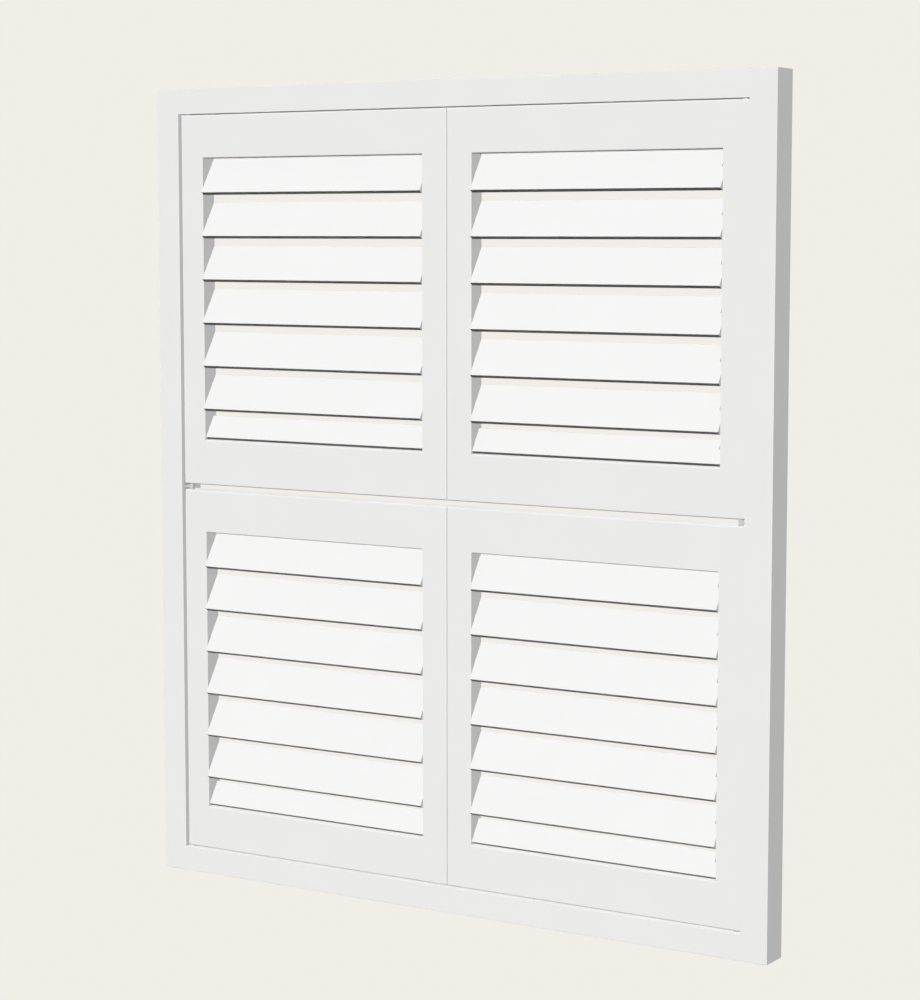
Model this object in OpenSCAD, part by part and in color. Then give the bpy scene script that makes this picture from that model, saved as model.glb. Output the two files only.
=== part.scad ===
// Louvred shutters: two tiers of paired panels that swing in a mitred timber frame.
// X runs to the right, Y from the room towards the wall, and Z up.
// The origin is at the bottom centre of the frame.

/* [Frame] */
// Width over the frame
frame_w = 1270; // [1000:5:1600]
// Height over the frame
frame_h = 1475; // [1200:5:1800]
// Depth of the frame from its front face to its back face
frame_d = 56.5; // [54:0.5:80]
// Width of a jamb's front face
jamb_face = 49.5; // [40:0.5:80]
// Height of the head's front face
head_face = 47; // [38:0.5:80]
// Height of the sill's front face
sill_face = 45.5; // [38:0.5:80]
// Radius of the eased long edges of the frame
frame_ease = 0.5; // [0.4:0.1:3]
// Distance of the outer fixing holes from the frame's ends
fixing_end = 180; // [120:5:260]
// Distance of the inner fixing holes from the middle of the frame's width
fixing_mid = 150; // [80:5:220]
// Diameter of a fixing hole through the head or the sill
fixing_d = 6; // [4:0.5:8]
// Diameter of the counterbore for a fixing's head
fixing_head_d = 12; // [9:0.5:14]
// Depth of that counterbore
fixing_head_depth = 8; // [4:0.5:15]

/* [Panels] */
// Setback of the panels behind the frame's front face
panel_recess = 8; // [4:0.1:12]
// Thickness of a panel
panel_t = 33; // [28:0.5:36]
// Gap between a panel and its jamb
side_gap = 1.2; // [1.1:0.1:4]
// Gap between a panel and the head or the sill
end_gap = 1.5; // [1.2:0.1:6]
// Gap between the two panels of a tier
meeting_gap = 1.5; // [1.2:0.1:6]
// Gap between the upper and the lower panels
tier_gap = 11; // [9:0.5:20]
// Width of the stile on the pivot side
hinge_stile_w = 49.2; // [40:0.1:70]
// Width of the stile where the two panels meet
meeting_stile_w = 50.35; // [40:0.05:70]
// Height of a panel's top rail
top_rail_h = 79.5; // [60:0.5:120]
// Height of an upper panel's bottom rail
upper_bottom_rail_h = 84; // [60:0.5:120]
// Height of a lower panel's bottom rail
lower_bottom_rail_h = 80.5; // [60:0.5:120]
// Radius of the eased outer edges of a stile
stile_ease = 0.8; // [0.4:0.1:2]
// Radius of the eased level edges of the rails and of the stiles' ends
rail_ease = 2.4; // [0.4:0.1:3]
// Length of a rail's tenon in its stile
tenon_l = 24; // [15:1:28]
// Thickness of a tenon
tenon_t = 11; // [8:0.5:12]
// Height of the shoulder above and below a tenon
tenon_shoulder = 16; // [10:1:20]

/* [Louvres] */
// Number of louvres in a panel, the narrow bottom one included
louvres = 7; // [4:1:7]
// Width of a louvre
louvre_w = 73; // [50:1:90]
// Width of the narrow bottom louvre
last_louvre_w = 46; // [44:1:60]
// Thickness of a louvre
louvre_t = 9.5; // [8.5:0.5:12]
// Radius of a louvre's eased edges
louvre_ease = 0.8; // [0.3:0.1:2]
// Tilt of the louvres at their closed stop, front edge down
louvre_tilt = 58; // [40:1:65]
// Clearance between a closed louvre and the rail beside it
rail_clear = 0.7; // [0.5:0.1:3]
// Height of the slit above the narrow louvre
last_gap = 9.6; // [4:0.1:15]
// Least height of the slit between two closed louvres
least_gap = 2; // [1:0.5:6]
// Gap between a louvre's end and its stile
louvre_end_gap = 1; // [0.8:0.1:3]

/* [Louvre pins] */
// Diameter of the pin at each end of a louvre
end_pin_d = 6; // [4:0.5:6]
// Length of an end pin inside the louvre
end_pin_in = 24; // [15:1:30]
// Length of an end pin inside the stile
end_pin_out = 12; // [8:1:20]
// Diameter of the collar between a louvre and its stile
collar_d = 9; // [8:0.5:9]

/* [Tilt bar] */
// Thickness of the tilt bar, along the louvres
bar_t = 3; // [2:0.5:4]
// Width of the tilt bar, across the panel's thickness
bar_w = 5; // [4:0.5:5]
// Distance from a louvre's pivot to its link pin
crank_r = 18; // [17.5:0.5:20]
// Diameter of a link pin
link_pin_d = 2.5; // [2:0.1:3]
// Thickness of the lug between the slot and the louvre's end
slot_lug = 4.5; // [3.5:0.5:8]
// Clearance on each side of the bar in its slot
slot_clear = 0.6; // [0.4:0.1:1]
// Length of the bar past its first and last link pin
bar_end = 5; // [3:0.5:5]

/* [Panel pivots] */
// Distance of the pivot from the panel's hinge edge
pivot_inset = 12; // [11:0.5:16]
// Distance of the pivot behind the panel's face
pivot_setback = 5; // [4.8:0.1:5.4]
// Diameter of a pivot pin
pivot_d = 4; // [3:0.5:4]
// Length of a pivot pin inside a panel
pivot_in_panel = 14; // [10:1:20]
// Length of a pivot pin inside the head or the sill
pivot_in_frame = 14; // [10:1:25]
// Wall of the bush that is pressed into the panel
bush_wall = 1.1; // [0.8:0.1:1.4]
// Diameter of a pivot washer, and width of a bracket's tongue
washer_d = 9; // [8:0.5:9]
// Thickness of a bracket's plate and of its tongue
bracket_t = 3; // [2:0.5:4]
// Height of a bracket's plate
bracket_h = 46; // [36:1:80]
// Depth of a bracket's plate
bracket_d = 30; // [20:1:32]
// Diameter of a bracket's screw holes
bracket_screw_d = 4; // [3:0.5:5]
// Diameter of the pilot holes behind them
bracket_pilot_d = 2.8; // [2:0.1:3]
// Depth of those pilot holes in the jamb
bracket_pilot_l = 28; // [16:1:32]
// Distance of the screws behind the bracket's front edge
bracket_screw_in = 18; // [12:1:22]
// Distance of the screws from the bracket's ends
bracket_screw_end = 8.5; // [6:0.5:10]

/* [Magnetic catches] */
// Width of a catch, across both meeting stiles
catch_w = 64; // [40:2:90]
// Depth of a catch behind the panels
catch_d = 11; // [8:0.5:13]
// Height of a catch
catch_h = 14; // [12:0.5:20]
// Gap between a catch and the panels, filled by a strike plate
catch_gap = 1.5; // [1:0.1:3]
// Diameter of a magnet
magnet_d = 8; // [5:0.5:9]
// Thickness of a magnet
magnet_t = 3; // [2:0.5:5]

/* [Fits] */
// Radial clearance of a pin that turns in its hole
run_fit = 0.08; // [0.03:0.01:0.1]
// Radial clearance of a pin or bush that is fixed in its hole
set_fit = 0.02; // [0.01:0.01:0.05]
// Clearance around a tenon or an inlaid plate
joint_fit = 0.1; // [0.05:0.05:0.3]
// End play of a collar or a washer
end_play = 0.3; // [0.1:0.05:0.4]

/* [Hidden] */
$fn = 48;
sides = ["left", "right"];
tiers = ["lower", "upper"];

// The clear inside of the frame, and the panels in it.
inner_w = frame_w - 2 * jamb_face;
inner_h = frame_h - head_face - sill_face;
panel_w = (inner_w - 2 * side_gap - meeting_gap) / 2;
opening_w = panel_w - hinge_stile_w - meeting_stile_w;
// The openings of both tiers are the same height, and the gap between the tiers follows.
rails_h = 2 * top_rail_h + lower_bottom_rail_h + upper_bottom_rail_h;
opening_h = (inner_h - 2 * end_gap - tier_gap - rails_h) / 2;
tier_mid_z = sill_face + end_gap + lower_bottom_rail_h + opening_h + top_rail_h + tier_gap / 2;
front_y = -frame_d / 2;
back_y = frame_d / 2;
panel_front_y = front_y + panel_recess;
panel_mid_y = panel_front_y + panel_t / 2;
panel_back_y = panel_front_y + panel_t;
fixing_y = (panel_back_y + back_y) / 2;

// The louvres. Each turns about the middle of its own section.
function half_rise(w) = w / 2 * sin(louvre_tilt) + louvre_t / 2 * cos(louvre_tilt);
first_drop = half_rise(louvre_w) + rail_clear;
last_lift = half_rise(last_louvre_w) + rail_clear;
last_step = half_rise(louvre_w) + last_gap + half_rise(last_louvre_w);
pitch = (opening_h - first_drop - last_step - last_lift) / (louvres - 2);
// The tilt at which neighbours are least_gap apart limits the closed stop.
shut_reach = (pitch - least_gap) / norm([louvre_w, louvre_t]);
shut_tilt = shut_reach >= 1 ? 90 : asin(shut_reach) - atan(louvre_t / louvre_w);
rest_tilt = min(louvre_tilt, shut_tilt);
slat_l = opening_w - 2 * louvre_end_gap;
collar_play = 0.15;

// The slot for the tilt bar starts where the bar comes nearest the pivot at the stops.
slot_w = bar_t + 2 * slot_clear;
slot_x = slat_l / 2 - slot_lug - slot_w / 2;
slot_start = crank_r - bar_w / 2 / cos(rest_tilt) - louvre_t / 2 * tan(rest_tilt) - 2 * slot_clear;
link_seat = 5;
link_y = crank_r * cos(rest_tilt);
link_z = crank_r * sin(rest_tilt);

// The middle of the part of a catch that a panel covers.
magnet_z = (catch_h + end_gap) / 2;

// The panel pivots.
pivot_x = inner_w / 2 - side_gap - pivot_inset;
pivot_y = panel_front_y + pivot_setback;
bush_l = pivot_in_panel + 2;
bush_d = pivot_d + 2 * (run_fit + bush_wall);
bush_x = pivot_inset - hinge_stile_w - opening_w / 2;
tier_step = (tier_gap - bracket_t) / 2;
bracket_y0 = pivot_y - washer_d / 2;
bracket_screw_y = bracket_y0 + bracket_screw_in;
bracket_screw_z = [for (side = [-1, 1]) tier_mid_z + side * (bracket_h / 2 - bracket_screw_end)];

function panel_name(tier, side) = str(tiers[tier], "_", sides[side]);
function panel_x(side) = (side == 0 ? -1 : 1) * (meeting_gap / 2 + meeting_stile_w + opening_w / 2);
function bottom_rail_h(tier) = tier == 0 ? lower_bottom_rail_h : upper_bottom_rail_h;
function panel_h(tier) = bottom_rail_h(tier) + opening_h + top_rail_h;
function panel_z(tier) = tier == 0 ? sill_face + end_gap : tier_mid_z + tier_gap / 2;
function louvre_width(i) = i < louvres ? louvre_w : last_louvre_w;
function louvre_lift(i) = i < louvres ? opening_h - first_drop - (i - 1) * pitch : last_lift;
function louvre_z(tier, i) = bottom_rail_h(tier) + louvre_lift(i);

PANEL_PARTS = ["hinge_stile", "meeting_stile", "top_rail", "bottom_rail", "pivot_bushes", "tilt_bar"];

// A rectangle with its four corners rounded, centred.
module eased_rect(w, h, r) {
    square([w - 2 * r, h], center = true);
    square([w, h - 2 * r], center = true);
    for (x = [-1, 1], y = [-1, 1]) translate([x * (w / 2 - r), y * (h / 2 - r)]) circle(r);
}

// A cylinder along X from x0 to x1.
module rod_x(d, x0, x1) {
    translate([x0, 0, 0]) rotate([0, 90, 0]) cylinder(d = d, h = x1 - x0);
}

// An outline drawn in Y and Z and given a length along X, centred.
module along_x(l) {
    rotate([90, 0, 90]) linear_extrude(l, center = true) children();
}

// An outline drawn in X and Z and given the frame's depth.
module through_frame() {
    translate([0, back_y, 0]) rotate([90, 0, 0]) linear_extrude(frame_d) children();
}

// ---- Frame ----

// The sill, or the head turned over, by the height of its face. Its fixing holes are
// hidden behind the panels.
module head_or_sill(face) {
    difference() {
        intersection() {
            translate([0, 0, face / 2]) along_x(frame_w) eased_rect(frame_d, face, frame_ease);
            through_frame() polygon([
                [-frame_w / 2, 0], [frame_w / 2, 0], [inner_w / 2, face], [-inner_w / 2, face]
            ]);
        }
        for (x = [-pivot_x, pivot_x]) translate([x, pivot_y, face - pivot_in_frame])
            cylinder(d = pivot_d + 2 * set_fit, h = pivot_in_frame + 1);
        for (x = [frame_w / 2 - fixing_end, fixing_mid], side = [-1, 1])
            translate([side * x, fixing_y, face]) fixing_hole(face);
    }
}

// A hole through a timber, with a counterbore in the inner face for the fixing's head.
module fixing_hole(face) {
    translate([0, 0, -face - 1]) cylinder(d = fixing_d, h = face + 2);
    translate([0, 0, -fixing_head_depth]) cylinder(d = fixing_head_d, h = fixing_head_depth + 1);
}

module frame_sill() {
    color("whitesmoke") head_or_sill(sill_face);
}

module frame_head() {
    color("whitesmoke") translate([0, 0, frame_h]) mirror([0, 0, 1]) head_or_sill(head_face);
}

// The right jamb, with its bracket let in flush.
module jamb() {
    difference() {
        intersection() {
            translate([frame_w / 2 - jamb_face / 2, 0, 0])
                linear_extrude(frame_h) eased_rect(jamb_face, frame_d, frame_ease);
            through_frame() polygon([
                [frame_w / 2, 0], [frame_w / 2, frame_h],
                [inner_w / 2, frame_h - head_face], [inner_w / 2, sill_face]
            ]);
        }
        bracket_plate_space(joint_fit);
        for (z = bracket_screw_z) translate([inner_w / 2, bracket_screw_y, z])
            rod_x(bracket_pilot_d, 0, bracket_pilot_l);
    }
}

module jamb_right() {
    color("whitesmoke") jamb();
}

module jamb_left() {
    color("whitesmoke") mirror([1, 0, 0]) jamb();
}

// ---- Pivot hardware ----

// The plate of the right bracket, grown by a clearance, as a housing for it.
module bracket_plate_space(clear) {
    translate([inner_w / 2, bracket_y0 - clear, tier_mid_z - bracket_h / 2 - clear])
        cube([bracket_t + clear, bracket_d + 2 * clear, bracket_h + 2 * clear]);
}

module bracket() {
    difference() {
        union() {
            bracket_plate_space(0);
            translate([0, pivot_y, tier_mid_z - bracket_t / 2]) linear_extrude(bracket_t) {
                translate([pivot_x, 0]) circle(d = washer_d);
                translate([pivot_x, -washer_d / 2]) square([inner_w / 2 - pivot_x + bracket_t / 2, washer_d]);
            }
        }
        translate([pivot_x, pivot_y, tier_mid_z - bracket_t])
            cylinder(d = pivot_d + 2 * set_fit, h = 2 * bracket_t);
        for (z = bracket_screw_z) translate([inner_w / 2, bracket_screw_y, z]) {
            rod_x(bracket_screw_d, -1, bracket_t + 1);
            rotate([0, 90, 0])
                cylinder(d1 = 2 * bracket_screw_d, d2 = bracket_screw_d, h = bracket_screw_d / 2);
        }
    }
}

module both_sides() {
    children();
    mirror([1, 0, 0]) children();
}

module pivot_brackets() {
    color("darkgray") both_sides() bracket();
}

// A pin in the sill, one in the head and one through each bracket.
module pivot_pins() {
    end_l = pivot_in_frame + end_gap + pivot_in_panel - set_fit;
    mid_l = tier_gap + 2 * pivot_in_panel;
    color("silver") both_sides() translate([pivot_x, pivot_y, 0]) {
        translate([0, 0, sill_face - pivot_in_frame + set_fit]) cylinder(d = pivot_d, h = end_l);
        translate([0, 0, tier_mid_z - mid_l / 2]) cylinder(d = pivot_d, h = mid_l);
        translate([0, 0, frame_h - head_face + pivot_in_frame - set_fit - end_l])
            cylinder(d = pivot_d, h = end_l);
    }
}

module washer(t) {
    difference() {
        cylinder(d = washer_d, h = t);
        translate([0, 0, -1]) cylinder(d = pivot_d + 2 * run_fit, h = t + 2);
    }
}

// The washers carry the panels at the sill and on the brackets, and steady them above.
module pivot_washers() {
    end_t = end_gap - end_play;
    mid_t = tier_step - end_play;
    color("darkgray") both_sides() translate([pivot_x, pivot_y, 0]) {
        translate([0, 0, sill_face]) washer(end_t);
        translate([0, 0, tier_mid_z + bracket_t / 2]) washer(mid_t);
        translate([0, 0, tier_mid_z - bracket_t / 2 - mid_t]) washer(mid_t);
        translate([0, 0, frame_h - head_face - end_t]) washer(end_t);
    }
}

// ---- Magnetic catches ----

module catch() {
    catch_y = panel_back_y + catch_gap;
    difference() {
        translate([-catch_w / 2, catch_y, 0]) cube([catch_w, catch_d, catch_h]);
        for (x = [-catch_w / 4, catch_w / 4]) translate([x, catch_y - 1, magnet_z])
            rotate([-90, 0, 0]) cylinder(d = magnet_d + 2 * set_fit, h = magnet_t + set_fit + 1);
    }
    for (x = [-catch_w / 4, catch_w / 4]) translate([x, catch_y, magnet_z])
        rotate([-90, 0, 0]) cylinder(d = magnet_d, h = magnet_t);
}

module magnetic_catches() {
    color("white") {
        translate([0, 0, sill_face]) catch();
        translate([0, 0, frame_h - head_face]) mirror([0, 0, 1]) catch();
    }
}

// ---- Panels ----

// Places a panel's part, drawn for a left panel about the middle of its opening.
module in_panel(tier, side) {
    translate([panel_x(side), panel_mid_y, panel_z(tier)])
        mirror([side, 0, 0]) children();
}

// The hinge stile's blank. Its outer edges and its ends are eased, and its inner edges are
// square to meet the rails.
module stile_blank(w, h) {
    intersection() {
        translate([-(opening_w + w) / 2, 0, 0]) linear_extrude(h) {
            eased_rect(w, panel_t, stile_ease);
            translate([0, -panel_t / 2]) square([w / 2, panel_t]);
        }
        translate([0, 0, h / 2]) along_x(2 * panel_w) eased_rect(panel_t, h, rail_ease);
    }
}

module rail_tenons(h, clear) {
    along_x(opening_w + 2 * (tenon_l + clear))
        square([tenon_t + 2 * clear, h - 2 * tenon_shoulder + 2 * clear], center = true);
}

// The mortises for both rails and the bores for the louvres' end pins.
module stile_sockets(tier) {
    translate([0, 0, bottom_rail_h(tier) / 2]) rail_tenons(bottom_rail_h(tier), joint_fit);
    translate([0, 0, panel_h(tier) - top_rail_h / 2]) rail_tenons(top_rail_h, joint_fit);
    bore_x = opening_w / 2 + end_pin_out + 1;
    for (i = [1 : louvres]) translate([0, 0, louvre_z(tier, i)])
        rod_x(end_pin_d + 2 * run_fit, -bore_x, bore_x);
}

module hinge_stile(tier, side) {
    color("whitesmoke") in_panel(tier, side) difference() {
        stile_blank(hinge_stile_w, panel_h(tier));
        stile_sockets(tier);
        for (z = [-1, panel_h(tier) - bush_l]) translate([bush_x, pivot_y - panel_mid_y, z])
            cylinder(d = bush_d + 2 * set_fit, h = bush_l + 1);
    }
}

module meeting_stile(tier, side) {
    color("whitesmoke") in_panel(tier, side) difference() {
        mirror([1, 0, 0]) stile_blank(meeting_stile_w, panel_h(tier));
        stile_sockets(tier);
    }
}

module rail(h) {
    along_x(opening_w) eased_rect(panel_t, h, rail_ease);
    rail_tenons(h, 0);
}

module top_rail(tier, side) {
    color("whitesmoke") in_panel(tier, side)
        translate([0, 0, panel_h(tier) - top_rail_h / 2]) rail(top_rail_h);
}

module bottom_rail(tier, side) {
    color("whitesmoke") in_panel(tier, side)
        translate([0, 0, bottom_rail_h(tier) / 2]) rail(bottom_rail_h(tier));
}

module pivot_bushes(tier, side) {
    color("ivory") in_panel(tier, side)
        for (z = [0, panel_h(tier) - bush_l]) translate([bush_x, pivot_y - panel_mid_y, z])
            difference() {
                cylinder(d = bush_d, h = bush_l);
                translate([0, 0, -1]) cylinder(d = pivot_d + 2 * run_fit, h = bush_l + 2);
            }
}

// ---- Louvres ----

module end_pin() {
    rod_x(end_pin_d, slat_l / 2 - end_pin_in, opening_w / 2 + end_pin_out);
    rod_x(collar_d, slat_l / 2 + collar_play, opening_w / 2 - collar_play);
}

link_x0 = slot_x - slot_w / 2 - link_seat;

// A slat, its slot for the tilt bar, its end pins and its link pin.
module louvre(tier, side, i) {
    w = louvre_width(i);
    color("white") translate([panel_x(side), panel_mid_y, panel_z(tier) + louvre_z(tier, i)])
        rotate([rest_tilt, 0, 0]) {
            difference() {
                along_x(slat_l) eased_rect(w, louvre_t, louvre_ease);
                both_sides() rod_x(end_pin_d + 2 * set_fit, slat_l / 2 - end_pin_in - 1, slat_l / 2 + 1);
                translate([slot_x - slot_w / 2, slot_start, -louvre_t]) cube([slot_w, w, 2 * louvre_t]);
                translate([0, crank_r, 0]) rod_x(link_pin_d + 2 * set_fit, link_x0, slat_l / 2 + 1);
            }
            both_sides() end_pin();
            translate([0, crank_r, 0]) rod_x(link_pin_d, link_x0 + set_fit, slat_l / 2 - collar_play);
        }
}

// The bar that joins a panel's louvres, pinned to each at the same crank radius.
module tilt_bar(tier, side) {
    z_top = louvre_z(tier, 1);
    z_low = louvre_z(tier, louvres);
    color("silver") translate([panel_x(side) + slot_x, panel_mid_y + link_y, panel_z(tier) + link_z])
        along_x(bar_t) difference() {
            union() {
                translate([-bar_w / 2, z_low - bar_end + bar_w / 2])
                    square([bar_w, z_top - z_low + 2 * bar_end - bar_w]);
                for (z = [z_low - bar_end, z_top + bar_end])
                    translate([0, z + (z > z_low ? -1 : 1) * bar_w / 2]) circle(d = bar_w);
            }
            for (i = [1 : louvres]) translate([0, louvre_z(tier, i)]) circle(d = link_pin_d + 2 * run_fit);
        }
}

// ---- Output ----

frame_head();
frame_sill();
jamb_left();
jamb_right();
pivot_brackets();
pivot_pins();
pivot_washers();
magnetic_catches();
for (tier = [0, 1], side = [0, 1]) {
    panel = panel_name(tier, side);
    hinge_stile(tier, side);
    meeting_stile(tier, side);
    top_rail(tier, side);
    bottom_rail(tier, side);
    pivot_bushes(tier, side);
    tilt_bar(tier, side);
    for (i = [1 : louvres])
        louvre(tier, side, i);
}
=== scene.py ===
# %% [markdown]
# # A white louvred shutter unit
# The real thing is joinery: a mitred timber frame, four panels that swing in it on hidden
# pivots, and seven slats in each panel that tilt together. Every moving piece already has its
# true size and place in the loaded frame. What is left for Blender is what the eye judges:
# the satin paint, the metal and nylon of the small hardware, the last small fittings,
# the light, and the camera.

# %% Load the construction
import math

import bpy
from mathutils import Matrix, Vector


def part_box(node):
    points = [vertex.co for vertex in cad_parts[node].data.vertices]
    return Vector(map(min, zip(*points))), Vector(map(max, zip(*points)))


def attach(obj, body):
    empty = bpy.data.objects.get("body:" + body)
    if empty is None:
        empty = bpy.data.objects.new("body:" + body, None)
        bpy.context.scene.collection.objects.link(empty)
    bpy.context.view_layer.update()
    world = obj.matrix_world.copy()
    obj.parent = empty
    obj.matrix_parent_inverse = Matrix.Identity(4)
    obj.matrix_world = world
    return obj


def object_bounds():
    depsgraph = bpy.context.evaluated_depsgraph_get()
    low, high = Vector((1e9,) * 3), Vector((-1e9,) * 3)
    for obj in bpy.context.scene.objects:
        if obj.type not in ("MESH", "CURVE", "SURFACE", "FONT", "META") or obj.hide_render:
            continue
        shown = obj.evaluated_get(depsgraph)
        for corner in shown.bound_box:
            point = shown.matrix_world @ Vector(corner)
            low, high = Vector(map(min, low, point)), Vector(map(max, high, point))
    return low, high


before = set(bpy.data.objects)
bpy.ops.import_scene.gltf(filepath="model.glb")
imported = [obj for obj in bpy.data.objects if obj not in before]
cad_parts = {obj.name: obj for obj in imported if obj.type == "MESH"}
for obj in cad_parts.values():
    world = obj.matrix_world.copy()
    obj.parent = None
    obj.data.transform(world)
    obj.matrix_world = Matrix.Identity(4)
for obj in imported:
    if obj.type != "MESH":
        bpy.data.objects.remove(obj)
cad_low, cad_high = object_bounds()
print("pieces in the frame:", len(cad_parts))
print("box in metres:", [round(v, 4) for v in (cad_high - cad_low)])

# %% [markdown]
# ## The camera
# A tall flat object is drawn best by a long lens, from the height of its upper half. This lens
# is about two and a half times as long as its sensor is high, and it looks down by only six
# degrees, so the uprights lean only a little. It stands to the right of the unit and looks
# back to the left, which shows the faces, the thickness of the right jamb, and the slope of
# the slats.

# %% Place the camera
VIEW_FROM = Vector((2.449, -3.858, 1.215))
VIEW_AZIMUTH = 32.25
VIEW_DOWN = 5.94
LENS = 93.4
SENSOR = 36.0

camera_data = bpy.data.cameras.new("view")
camera_data.lens = LENS
camera_data.sensor_width = SENSOR
camera = bpy.data.objects.new("view", camera_data)
camera.location = VIEW_FROM
camera.rotation_euler = (math.radians(90 - VIEW_DOWN), 0, math.radians(VIEW_AZIMUTH))
bpy.context.scene.collection.objects.link(camera)
bpy.context.scene.camera = camera
print("camera stands", round(VIEW_FROM.length, 2), "m from the origin")

# %% [markdown]
# ## The light
# White paint has no colour of its own to show its shape, so the light has to draw it.
# One lamp does nearly all of it. It stands a little above and to the right of the unit, so
# the faces are bright, the slats, which lean back, are a shade brighter, the sides are a mid
# grey, and the noses of the slats, which look downwards, are a dark grey.
# A slatted object is hard to read under shadows: each slat would throw a band on the next
# one. A studio hides those bands with light from all round. Here the lamp simply
# throws no shadow, which gives every slat the same clean tone. A second lamp from behind
# lights the back and the ledges, and a third lights only the left side, because it lies
# exactly level with it. Sun lamps are used because their light is even over any distance.

# %% Helper: a shadowless sun from a direction
SUN_WIDTH = 4
LAMP_DISTANCE = 4


def studio_sun(name, azimuth, elevation, strength):
    """A sun lamp that shines from that azimuth (0 is in front, 90 right) and elevation."""
    a, e = math.radians(azimuth), math.radians(elevation)
    towards = Vector((math.sin(a) * math.cos(e), -math.cos(a) * math.cos(e), math.sin(e)))
    data = bpy.data.lights.new(name, "SUN")
    data.energy = strength
    data.angle = math.radians(SUN_WIDTH)
    data.use_shadow = False
    lamp = bpy.data.objects.new(name, data)
    lamp.rotation_mode = "QUATERNION"
    lamp.rotation_quaternion = towards.to_track_quat("Z", "Y")
    lamp.location = towards * LAMP_DISTANCE
    bpy.context.scene.collection.objects.link(lamp)
    return lamp


# %% Set the lamps
key_lamp = studio_sun("key", azimuth=28, elevation=28, strength=3.63)
back_lamp = studio_sun("behind", azimuth=188, elevation=26, strength=3.0)
left_lamp = studio_sun("left", azimuth=270, elevation=0, strength=1.6)
print("lamps:", [lamp.name for lamp in (key_lamp, back_lamp, left_lamp)])

# %% [markdown]
# ## The room around it
# The world has one pale colour for the camera and a dim neutral one for everything else.
# The dim one does cast soft shade into corners and gaps, which keeps them readable. Bare metal
# shows nothing but its surroundings, so reflections see a brighter room than the paint does.

# %% Set the world
PALE = (0.879, 0.847, 0.799, 1)
NEUTRAL = (1, 1, 1, 1)
AMBIENT_STRENGTH = 0.025
REFLECTED_STRENGTH = 0.35

world = bpy.data.worlds.new("room")
bpy.context.scene.world = world
world.use_nodes = True
tree = world.node_tree
tree.nodes.clear()
seen = tree.nodes.new("ShaderNodeBackground")
seen.inputs["Color"].default_value = PALE
unseen = tree.nodes.new("ShaderNodeBackground")
unseen.inputs["Color"].default_value = NEUTRAL
path = tree.nodes.new("ShaderNodeLightPath")
room_strength = tree.nodes.new("ShaderNodeMapRange")
room_strength.inputs["To Min"].default_value = AMBIENT_STRENGTH
room_strength.inputs["To Max"].default_value = REFLECTED_STRENGTH
tree.links.new(path.outputs["Is Glossy Ray"], room_strength.inputs["Value"])
tree.links.new(room_strength.outputs["Result"], unseen.inputs["Strength"])
either = tree.nodes.new("ShaderNodeMixShader")
out = tree.nodes.new("ShaderNodeOutputWorld")
tree.links.new(path.outputs["Is Camera Ray"], either.inputs["Fac"])
tree.links.new(unseen.outputs["Background"], either.inputs[1])
tree.links.new(seen.outputs["Background"], either.inputs[2])
tree.links.new(either.outputs["Shader"], out.inputs["Surface"])
bpy.context.scene.view_settings.view_transform = "Standard"
print("world:", world.name)

# %% [markdown]
# ## The floor
# A plain pale floor carries the unit. It is a big sheet of paper in the colour of the
# room, so no line shows where it ends, and it sends no light back up to the slats.

# %% Lay the floor
MM = 0.001
FLOOR_SIZE = 60
FLOOR_BELOW = 0.5 * MM

bpy.ops.object.select_all(action="DESELECT")
bpy.ops.mesh.primitive_plane_add(size=FLOOR_SIZE, location=(0, 0, cad_low.z - FLOOR_BELOW))
floor = bpy.context.object
floor.name = "floor"
floor.visible_diffuse = False
floor.visible_glossy = False
bpy.ops.object.transform_apply(location=True)
floor_paint = bpy.data.materials.new("floor_paint")
floor_paint.use_nodes = True
floor_shader = floor_paint.node_tree.nodes["Principled BSDF"]
floor_shader.inputs["Base Color"].default_value = (0, 0, 0, 1)
floor_shader.inputs["Specular IOR Level"].default_value = 0
floor_shader.inputs["Emission Color"].default_value = PALE
floor_shader.inputs["Emission Strength"].default_value = 1
floor.data.materials.append(floor_paint)
print("floor:", FLOOR_SIZE, "m square")

# %% [markdown]
# ## A small kit for finishes
# A real finish is never one flat colour. Its tone drifts, its gloss varies a little, and its
# skin has a fine relief. These could be painted by hand, but a noise pattern in the shader
# needs no drawing and holds at any distance. The same few steps repeat in every finish: make
# a noise of a known size, bring it to the range that is wanted, and use it as a tint or as
# a relief. So each step is a short function.

# %% Helpers: an empty material, a noise and its range
NOISE_LOW, NOISE_HIGH = 0.3, 0.7


def new_material(name):
    """An empty principled material, with its tree and its shader."""
    material = bpy.data.materials.new(name)
    material.use_nodes = True
    return material, material.node_tree, material.node_tree.nodes["Principled BSDF"]


def noise(tree, size, detail, stretch=(1, 1, 1)):
    """A noise with blotches of about that size in metres, times the stretch of each axis."""
    place = tree.nodes.new("ShaderNodeTexCoord")
    mapping = tree.nodes.new("ShaderNodeMapping")
    mapping.inputs["Scale"].default_value = [1 / (size * s) for s in stretch]
    pattern = tree.nodes.new("ShaderNodeTexNoise")
    pattern.inputs["Scale"].default_value = 1
    pattern.inputs["Detail"].default_value = detail
    tree.links.new(place.outputs["Object"], mapping.inputs["Vector"])
    tree.links.new(mapping.outputs["Vector"], pattern.inputs["Vector"])
    return pattern.outputs["Fac"]


def in_range(tree, pattern, low, high):
    """Brings a noise, which seldom leaves the middle of its scale, to a range of values."""
    node = tree.nodes.new("ShaderNodeMapRange")
    node.inputs["From Min"].default_value = NOISE_LOW
    node.inputs["From Max"].default_value = NOISE_HIGH
    node.inputs["To Min"].default_value = low
    node.inputs["To Max"].default_value = high
    tree.links.new(pattern, node.inputs["Value"])
    return node.outputs["Result"]


print("a noise is used between", NOISE_LOW, "and", NOISE_HIGH)

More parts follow.
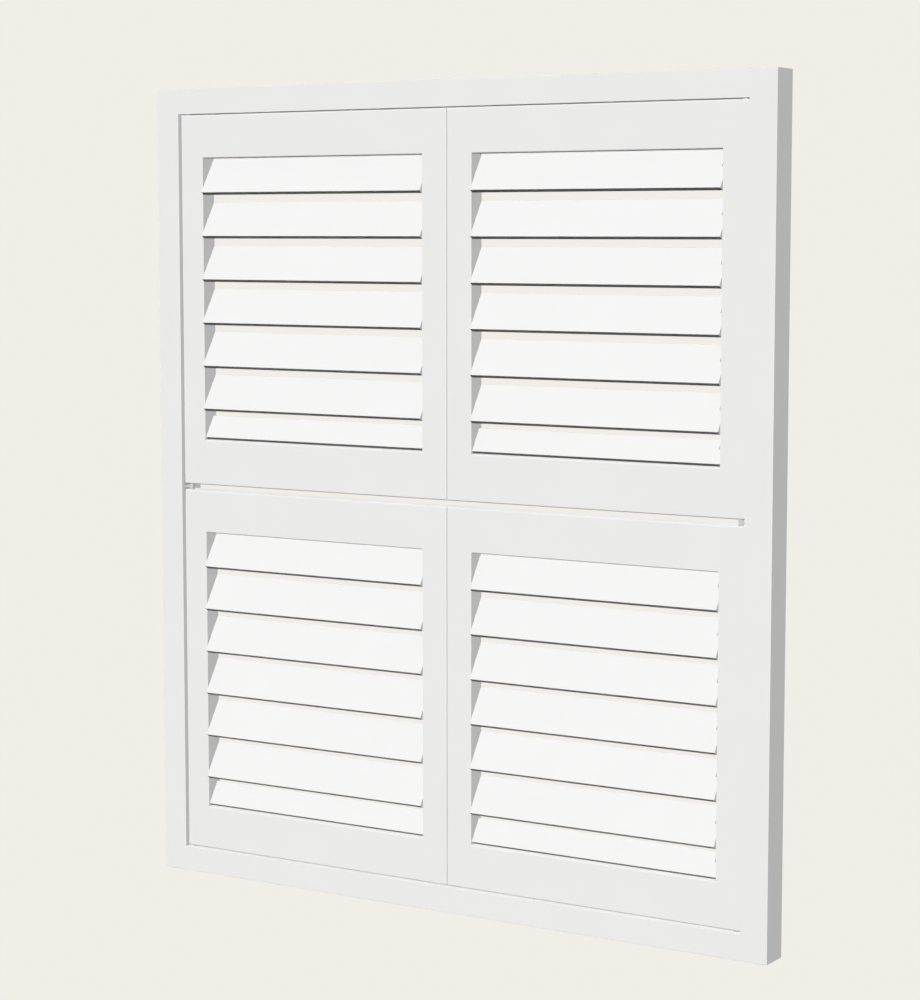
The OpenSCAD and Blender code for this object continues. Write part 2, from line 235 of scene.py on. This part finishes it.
# %% Helpers: a tint and a relief
def tint(tree, pattern, colour, darkest):
    """The colour, which the pattern darkens to that share of itself."""
    node = tree.nodes.new("ShaderNodeMix")
    node.data_type = "RGBA"
    node.inputs["A"].default_value = (*(c * darkest for c in colour), 1)
    node.inputs["B"].default_value = (*colour, 1)
    tree.links.new(in_range(tree, pattern, 0, 1), node.inputs["Factor"])
    return node.outputs["Result"]


def relief(tree, pattern, depth, below=None):
    """A bump of that depth in metres, laid over another one."""
    node = tree.nodes.new("ShaderNodeBump")
    node.inputs["Distance"].default_value = depth
    tree.links.new(pattern, node.inputs["Height"])
    if below is not None:
        tree.links.new(below, node.inputs["Normal"])
    return node.outputs["Normal"]


# %% [markdown]
# ## Satin paint on timber
# Shutters are sprayed: primer, then two thin coats of satin white. Close up, such paint has
# a faint orange peel about a millimetre across, and through it the long grain of the timber
# still lifts the surface by a few hundredths of a millimetre. The grain runs along each
# timber, so one recipe is used with the pattern stretched along X or along Z.
# The tone also drifts by a percent or so over a hand's width, which keeps a big flat
# face from looking like card.

# %% Helper: the paint's recipe
GRAIN_WIDTH = 1.6 * MM
GRAIN_STRETCH = 40
GRAIN_DEPTH = 0.04 * MM
PEEL_SIZE = 1.2 * MM
PEEL_DEPTH = 0.02 * MM
TONE_SIZE = 120 * MM
TONE_DARKEST = 0.985
SATIN_SIZE = 50 * MM
SATIN_LOW, SATIN_HIGH = 0.36, 0.46
PAINT_IOR = 1.5
PAINT_SPECULAR = 0.12


def satin_paint(name, white, along):
    """Sprayed satin white over timber whose grain runs along axis 0, 1 or 2."""
    material, tree, shader = new_material(name)
    stretch = [1, 1, 1]
    stretch[along] = GRAIN_STRETCH
    tone = tint(tree, noise(tree, TONE_SIZE, 2), white, TONE_DARKEST)
    satin = in_range(tree, noise(tree, SATIN_SIZE, 3), SATIN_LOW, SATIN_HIGH)
    grain = relief(tree, noise(tree, GRAIN_WIDTH, 3, stretch), GRAIN_DEPTH)
    peel = relief(tree, noise(tree, PEEL_SIZE, 1), PEEL_DEPTH, grain)
    tree.links.new(tone, shader.inputs["Base Color"])
    tree.links.new(satin, shader.inputs["Roughness"])
    tree.links.new(peel, shader.inputs["Normal"])
    shader.inputs["IOR"].default_value = PAINT_IOR
    shader.inputs["Specular IOR Level"].default_value = PAINT_SPECULAR
    return material


# %% Make the paints
FRAME_WHITE = (0.90, 0.90, 0.893)
# The slats have the same white paint as the frame, but here it is a shade darker. That is painted
# shade, which tones down the extra light the leaning slats catch from the key lamp.
SLAT_WHITE_WITH_PAINTED_SHADE = (0.866, 0.866, 0.862)
ALONG_X, ALONG_Z = 0, 2

level_paint = satin_paint("paint_level_timber", FRAME_WHITE, ALONG_X)
upright_paint = satin_paint("paint_upright_timber", FRAME_WHITE, ALONG_Z)
slat_paint_with_painted_shade = satin_paint("paint_slats_painted_shade", SLAT_WHITE_WITH_PAINTED_SHADE, ALONG_X)
print("paints:", [paint.name for paint in (level_paint, upright_paint, slat_paint_with_painted_shade)])

# %% [markdown]
# ## Bare metal
# The pivot pins are turned steel with fine rings round them, the screws and strike plates are
# plated steel, and the tilt bars are satin anodised aluminium, brushed along their length.
# Rings and brush marks are the same thing, fine lines in one direction, and plating has the
# same fine texture with no direction, so one recipe makes all three.

# %% Helper: the metals' recipe
METAL_DARKEST = 0.9
METAL_GLOSS_DRIFT = 0.2
METAL_LINE_DEPTH = 0.01 * MM


def metal(name, colour, roughness, line_width, stretch):
    """Bare metal with fine lines that run along the stretched axes."""
    material, tree, shader = new_material(name)
    lines = noise(tree, line_width, 2, stretch)
    smoothest = roughness * (1 - METAL_GLOSS_DRIFT)
    roughest = roughness * (1 + METAL_GLOSS_DRIFT)
    shader.inputs["Metallic"].default_value = 1
    tree.links.new(tint(tree, lines, colour, METAL_DARKEST), shader.inputs["Base Color"])
    tree.links.new(in_range(tree, lines, smoothest, roughest), shader.inputs["Roughness"])
    tree.links.new(relief(tree, lines, METAL_LINE_DEPTH), shader.inputs["Normal"])
    return material


# %% Make the metals
turned_steel = metal(
    "turned_steel", (0.62, 0.62, 0.63), roughness=0.3, line_width=0.4 * MM, stretch=(30, 30, 1)
)
anodised = metal(
    "anodised_aluminium", (0.78, 0.78, 0.8), roughness=0.42, line_width=0.3 * MM, stretch=(1, 1, 60)
)
plated_steel = metal(
    "plated_steel", (0.66, 0.66, 0.68), roughness=0.3, line_width=0.8 * MM, stretch=(1, 1, 1)
)
print("metals:", [finish.name for finish in (turned_steel, anodised, plated_steel)])

# %% [markdown]
# ## Powder coat and plastic
# The brackets are powder coated in grey, with a fine pebble. The washers are grey nylon,
# the bushes are natural nylon, a warm white, and the catches are moulded in white plastic.
# All four have a pebbled skin over one colour, and differ in how coarse and how deep it is.

# %% Helper: the recipe of powder coat and plastic
MOULDED_TONE_SIZE = 20 * MM
MOULDED_DARKEST = 0.97
MOULDED_GLOSS_SIZE = 10 * MM
MOULDED_GLOSS_DRIFT = 0.1


def moulded(name, colour, roughness, pebble_size, pebble_depth):
    """Plastic or powder coat with a fine pebble."""
    material, tree, shader = new_material(name)
    tone = tint(tree, noise(tree, MOULDED_TONE_SIZE, 2), colour, MOULDED_DARKEST)
    smoothest = roughness * (1 - MOULDED_GLOSS_DRIFT)
    roughest = roughness * (1 + MOULDED_GLOSS_DRIFT)
    gloss = in_range(tree, noise(tree, MOULDED_GLOSS_SIZE, 2), smoothest, roughest)
    pebble = relief(tree, noise(tree, pebble_size, 2), pebble_depth)
    tree.links.new(tone, shader.inputs["Base Color"])
    tree.links.new(gloss, shader.inputs["Roughness"])
    tree.links.new(pebble, shader.inputs["Normal"])
    return material


# %% Make the powder coat and the plastics
powder_coat = moulded(
    "grey_powder_coat", (0.64, 0.64, 0.63),
    roughness=0.45, pebble_size=0.6 * MM, pebble_depth=0.04 * MM
)
grey_nylon = moulded(
    "grey_nylon", (0.6, 0.6, 0.59),
    roughness=0.5, pebble_size=0.8 * MM, pebble_depth=0.01 * MM
)
nylon = moulded(
    "natural_nylon", (0.84, 0.82, 0.76),
    roughness=0.5, pebble_size=0.8 * MM, pebble_depth=0.01 * MM
)
white_plastic = moulded(
    "white_plastic", (0.86, 0.86, 0.855),
    roughness=0.38, pebble_size=0.5 * MM, pebble_depth=0.015 * MM
)
print("moulded:", [finish.name for finish in (powder_coat, grey_nylon, nylon, white_plastic)])

# %% [markdown]
# ## The magnets in the catches
# Each catch is a plastic block with two round nickel-plated magnets let into its face. Block
# and magnets are one mesh, so the finish itself has to tell them apart. It folds space about
# the middle of the unit, which lays all four magnets on one point of the front face, and
# everything nearer to that point than a magnet's radius is metal.

# %% Helper: find the magnets
MAGNET_RADIUS = 4 * MM
MAGNET_FROM_MIDDLE = 16 * MM
MAGNET_FROM_SEAT = 7.75 * MM


def vector_step(tree, operation, vector, values=(0, 0, 0)):
    """One step of vector maths."""
    node = tree.nodes.new("ShaderNodeVectorMath")
    node.operation = operation
    node.inputs[1].default_value = values
    tree.links.new(vector, node.inputs[0])
    return node.outputs["Value" if operation == "LENGTH" else "Vector"]


def magnet_mask(tree, unit_middle, magnet):
    """1 within a magnet's radius of the magnet and of its mirror images, and 0 elsewhere."""
    place = tree.nodes.new("ShaderNodeTexCoord").outputs["Object"]
    centred = vector_step(tree, "SUBTRACT", place, unit_middle)
    folded = vector_step(tree, "ABSOLUTE", centred)
    from_magnet = vector_step(tree, "SUBTRACT", folded, magnet - unit_middle)
    inside = tree.nodes.new("ShaderNodeMath")
    inside.operation = "LESS_THAN"
    inside.inputs[1].default_value = MAGNET_RADIUS
    tree.links.new(vector_step(tree, "LENGTH", from_magnet), inside.inputs[0])
    return inside.outputs["Value"]


# %% Put the magnets into the plastic
NICKEL = (0.7, 0.69, 0.66, 1)

catch_low, catch_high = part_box("magnetic_catches")
magnet_levels = {
    "lower": catch_low.z + MAGNET_FROM_SEAT,
    "upper": catch_high.z - MAGNET_FROM_SEAT,
}
unit_middle = Vector((0, 0, (catch_low.z + catch_high.z) / 2))
magnet = Vector((MAGNET_FROM_MIDDLE, catch_low.y, magnet_levels["upper"]))
catch_tree = white_plastic.node_tree
catch_shader = catch_tree.nodes["Principled BSDF"]
is_magnet = magnet_mask(catch_tree, unit_middle, magnet)
plastic_colour = catch_shader.inputs["Base Color"].links[0].from_socket
face_colour = catch_tree.nodes.new("ShaderNodeMix")
face_colour.data_type = "RGBA"
face_colour.inputs["B"].default_value = NICKEL
catch_tree.links.new(is_magnet, face_colour.inputs["Factor"])
catch_tree.links.new(plastic_colour, face_colour.inputs["A"])
catch_tree.links.new(face_colour.outputs["Result"], catch_shader.inputs["Base Color"])
catch_tree.links.new(is_magnet, catch_shader.inputs["Metallic"])
print("magnets at z =", [round(z, 4) for z in magnet_levels.values()], "m")

# %% [markdown]
# ## Giving each piece its finish
# Level timbers are the head, the sill and the rails; upright ones are the jambs and the
# stiles. The name of each piece says which it is, so a short table does the work.

# %% Assign the finishes
FINISHES = [
    ("louvre", slat_paint_with_painted_shade), ("tilt_bar", anodised), ("bushes", nylon), ("washers", grey_nylon),
    ("pivot_pins", turned_steel), ("brackets", powder_coat), ("catches", white_plastic),
    ("jamb", upright_paint), ("stile", upright_paint), ("rail", level_paint),
    ("head", level_paint), ("sill", level_paint),
]
for name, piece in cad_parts.items():
    finish = next(material for word, material in FINISHES if word in name)
    piece.data.materials.clear()
    piece.data.materials.append(finish)
    piece.visible_diffuse = False
print("finished pieces:", len(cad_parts))

# %% [markdown]
# ## Shaping by hand, in code
# The last pieces are small fittings that are seen when a panel stands open: the screws of the
# brackets and catches, and the steel plates that the magnets hold. Each starts as a primitive
# and is shaped in edit mode. An operator works on what is selected, so the helpers below
# first select one piece, and then its faces or edges by their direction and place.

# %% Helpers: select a piece, its faces and its edges
FACING = 0.9


def only(piece):
    """Selects that piece alone."""
    bpy.ops.object.select_all(action="DESELECT")
    piece.select_set(True)
    bpy.context.view_layer.objects.active = piece


def pick(piece, kind, test):
    """Enters edit mode with only the faces or edges selected that pass the test."""
    bpy.ops.object.mode_set(mode="EDIT")
    bpy.ops.mesh.select_mode(type=kind)
    bpy.ops.mesh.select_all(action="DESELECT")
    bpy.ops.object.mode_set(mode="OBJECT")
    parts = piece.data.polygons if kind == "FACE" else piece.data.edges
    for part in parts:
        part.select = test(part)
    bpy.ops.object.mode_set(mode="EDIT")


def ease_rim(offset, segments):
    """Bevels the rim of the selected faces, and leaves edit mode."""
    bpy.ops.mesh.region_to_loop()
    bpy.ops.mesh.bevel(offset=offset, segments=segments, affect="EDGES")
    bpy.ops.object.mode_set(mode="OBJECT")


# %% Helpers: cut, finish and copy
SMOOTH_BELOW = 35


def cut(piece, cutter):
    """Takes the cutter's shape out of the piece, and deletes the cutter."""
    only(piece)
    modifier = piece.modifiers.new("cut", "BOOLEAN")
    modifier.operation = "DIFFERENCE"
    modifier.solver = "EXACT"
    modifier.object = cutter
    bpy.ops.object.modifier_apply(modifier=modifier.name)
    bpy.data.objects.remove(cutter)


def finish_piece(piece, finish, body):
    """Gives a new piece its finish and its body, with its place in its mesh."""
    only(piece)
    bpy.ops.object.transform_apply(location=True, rotation=True, scale=True)
    bpy.ops.object.shade_smooth_by_angle(angle=math.radians(SMOOTH_BELOW))
    piece.data.materials.clear()
    piece.data.materials.append(finish)
    piece.visible_diffuse = False
    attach(piece, body)


def place_copy(model, name, at, turn, body):
    """A copy of the model, with its own mesh, at that place, turned by those degrees."""
    copy = model.copy()
    copy.data = model.data.copy()
    copy.name = name
    copy.location = at
    copy.rotation_euler = [math.radians(angle) for angle in turn]
    bpy.context.scene.collection.objects.link(copy)
    finish_piece(copy, plated_steel, body)
    return copy


# %% [markdown]
# ## A wood screw
# A real screw is a blank that is headed cold, given its cross recess in the same blow, and
# rolled to a thread. Here a short cylinder is the head. Its lower face is narrowed for a
# countersunk head, or its upper rim is rounded for a pan head, and that lower face is then
# extruded into the neck, the core and the point. Two thin boxes cut the cross. The thread
# is inside the timber and is left out. One screw of each kind is made and then copied.

# %% Choose what all the screws share
SCREW_SIDES = 32
PAN_ROUNDING = 0.6
NECK_TAPER = 1.2 * MM
POINT_LENGTH = 2
POINT_SHARPNESS = 0.15
CROSS_LENGTH, CROSS_WIDTH, CROSS_DEPTH = 1.05, 0.28, 1.1
print("a screw's cross is", CROSS_LENGTH, "by", CROSS_WIDTH, "of its head's radius")


# %% Helper: a screw with its head's top at the origin, pointing down
def extrude_down(depth, scale):
    """Extrudes the selected face downwards and then scales it level."""
    bpy.ops.mesh.extrude_region_move(TRANSFORM_OT_translate={"value": (0, 0, -depth)})
    bpy.ops.transform.resize(value=(scale, scale, 1))


def make_screw(name, head_r, head_h, neck_r, core_r, core_length, countersunk):
    """A cross-recess screw."""
    bpy.ops.object.select_all(action="DESELECT")
    bpy.ops.mesh.primitive_cylinder_add(
        vertices=SCREW_SIDES, radius=head_r, depth=head_h, location=(0, 0, -head_h / 2)
    )
    piece = bpy.context.object
    piece.name = name
    bpy.ops.object.transform_apply(location=True)
    if not countersunk:
        pick(piece, "FACE", lambda face: face.normal.z > FACING)
        ease_rim(offset=head_h * PAN_ROUNDING, segments=5)
    pick(piece, "FACE", lambda face: face.normal.z < -FACING)
    if countersunk:
        bpy.ops.transform.resize(value=(neck_r / head_r, neck_r / head_r, 1))
    else:
        bpy.ops.mesh.inset(thickness=head_r - neck_r)
    extrude_down(NECK_TAPER, core_r / neck_r)
    extrude_down(core_length, 1)
    extrude_down(POINT_LENGTH * core_r, POINT_SHARPNESS)
    bpy.ops.object.mode_set(mode="OBJECT")
    for turn in (0, 90):
        bpy.ops.mesh.primitive_cube_add(size=1, rotation=(0, 0, math.radians(turn)))
        cutter = bpy.context.object
        cutter.scale = (head_r * CROSS_LENGTH, head_r * CROSS_WIDTH, head_h * CROSS_DEPTH)
        cut(piece, cutter)
    return piece


# %% [markdown]
# ## The bracket screws
# Each bracket is let into its jamb and held by two countersunk screws, one over and one under
# its arm. The plate has a countersink for each, and the heads lie a hair below its face.

# %% Drive the bracket screws
BRACKET_PLATE = 3 * MM
BRACKET_SCREW_IN = 18 * MM
BRACKET_SCREW_END = 8.5 * MM
HEAD_BELOW_FACE = 0.05 * MM

bracket_low, bracket_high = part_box("pivot_brackets")
bracket_face_x = bracket_high.x - BRACKET_PLATE + HEAD_BELOW_FACE
bracket_screw_y = bracket_low.y + BRACKET_SCREW_IN
bracket_levels = {
    "lower": bracket_low.z + BRACKET_SCREW_END,
    "upper": bracket_high.z - BRACKET_SCREW_END,
}
bracket_screw = make_screw(
    "bracket_screw", head_r=3.9 * MM, head_h=1.95 * MM, neck_r=1.95 * MM, core_r=1.35 * MM,
    core_length=20 * MM, countersunk=True
)
bracket_screws = []
for side, sign in (("left", -1), ("right", 1)):
    for level, z in bracket_levels.items():
        name = f"bracket_screw_{side}_{level}"
        at = (sign * bracket_face_x, bracket_screw_y, z)
        turn = (0, -90 * sign, 0)
        bracket_screws.append(place_copy(bracket_screw, name, at, turn, "frame"))
bpy.data.objects.remove(bracket_screw)
print("bracket screws:", len(bracket_screws))

# %% [markdown]
# ## The catch screws
# A catch is screwed to the sill or to the head by two pan-head screws beside its magnets.
# The upper catch is the lower one turned over, and so are its screws.

# %% Drive the catch screws
CATCH_H = 14 * MM
CATCH_SCREW_FROM_END = 6 * MM
PAN_HEAD_H = 1.9 * MM

catch_mid_y = (catch_low.y + catch_high.y) / 2
catch_levels = {
    "lower": (catch_low.z + CATCH_H + PAN_HEAD_H, 0),
    "upper": (catch_high.z - CATCH_H - PAN_HEAD_H, 180),
}
catch_sides = {
    "left": catch_low.x + CATCH_SCREW_FROM_END,
    "right": catch_high.x - CATCH_SCREW_FROM_END,
}
catch_screw = make_screw(
    "catch_screw", head_r=2.9 * MM, head_h=PAN_HEAD_H, neck_r=1.6 * MM, core_r=1.2 * MM,
    core_length=18.5 * MM, countersunk=False
)
catch_screws = []
for level, (z, turned_over) in catch_levels.items():
    for side, x in catch_sides.items():
        name = f"catch_screw_{level}_{side}"
        at = (x, catch_mid_y, z)
        turn = (turned_over, 0, 0)
        catch_screws.append(place_copy(catch_screw, name, at, turn, "frame"))
bpy.data.objects.remove(catch_screw)
print("catch screws:", len(catch_screws))

# %% [markdown]
# ## The strike plates
# A magnet needs steel to hold. Each panel has a thin plate with rounded corners, screwed to
# the back of its meeting stile in front of its magnet. It is thinner than the gap to the
# catch, so the magnet pulls across a small air gap and the paint isn't chipped.
# A cube at the plate's size has the four edges through its thickness bevelled to round the
# corners, then the rim of its back face is eased, and two cones cut the countersinks.

# %% Helper: a strike plate about the origin, facing back
PLATE_W, PLATE_T, PLATE_H = 24 * MM, 1.2 * MM, 8.4 * MM
PLATE_CORNER = 2 * MM
PLATE_EASE = 0.15 * MM
PLATE_SCREW_X = 8 * MM
COUNTERSINK_BOTTOM_R, COUNTERSINK_TOP_R, COUNTERSINK_H = 0.9 * MM, 2.1 * MM, 1.4 * MM


def make_plate():
    """The plate, with its front face on Y = 0."""
    bpy.ops.object.select_all(action="DESELECT")
    bpy.ops.mesh.primitive_cube_add(
        size=1, location=(0, PLATE_T / 2, 0), scale=(PLATE_W, PLATE_T, PLATE_H)
    )
    piece = bpy.context.object
    piece.name = "strike_plate"
    bpy.ops.object.transform_apply(location=True, scale=True)

    def runs_through(edge):
        start, end = (piece.data.vertices[number].co for number in edge.vertices)
        return abs(start.y - end.y) > PLATE_T / 2

    pick(piece, "EDGE", runs_through)
    bpy.ops.mesh.bevel(offset=PLATE_CORNER, segments=8, affect="EDGES")
    bpy.ops.object.mode_set(mode="OBJECT")
    pick(piece, "FACE", lambda face: face.normal.y > FACING)
    ease_rim(offset=PLATE_EASE, segments=2)
    for x in (-PLATE_SCREW_X, PLATE_SCREW_X):
        bpy.ops.mesh.primitive_cone_add(
            vertices=SCREW_SIDES, radius1=COUNTERSINK_BOTTOM_R, radius2=COUNTERSINK_TOP_R,
            depth=COUNTERSINK_H, location=(x, PLATE_T / 2, 0), rotation=(math.radians(-90), 0, 0)
        )
        cut(piece, bpy.context.object)
    return piece


# %% Fix the strike plates
STILE_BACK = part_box("lower_left_meeting_stile")[1].y
screw_top_y = STILE_BACK + PLATE_T - HEAD_BELOW_FACE
plate = make_plate()
plate_screw = make_screw(
    "plate_screw", head_r=1.9 * MM, head_h=1.1 * MM, neck_r=0.85 * MM, core_r=0.7 * MM,
    core_length=6.8 * MM, countersunk=True
)
plates = []
for tier, z in magnet_levels.items():
    for side, x in (("left", -MAGNET_FROM_MIDDLE), ("right", MAGNET_FROM_MIDDLE)):
        body = f"{tier}_{side}_panel"
        name = f"{tier}_{side}_strike_plate"
        plates.append(place_copy(plate, name, (x, STILE_BACK, z), (0, 0, 0), body))
        for number, offset in enumerate((-PLATE_SCREW_X, PLATE_SCREW_X), 1):
            name = f"{tier}_{side}_strike_screw_{number}"
            place_copy(plate_screw, name, (x + offset, screw_top_y, z), (-90, 0, 0), body)
bpy.data.objects.remove(plate)
bpy.data.objects.remove(plate_screw)
print("strike plates:", len(plates), "with two screws each")
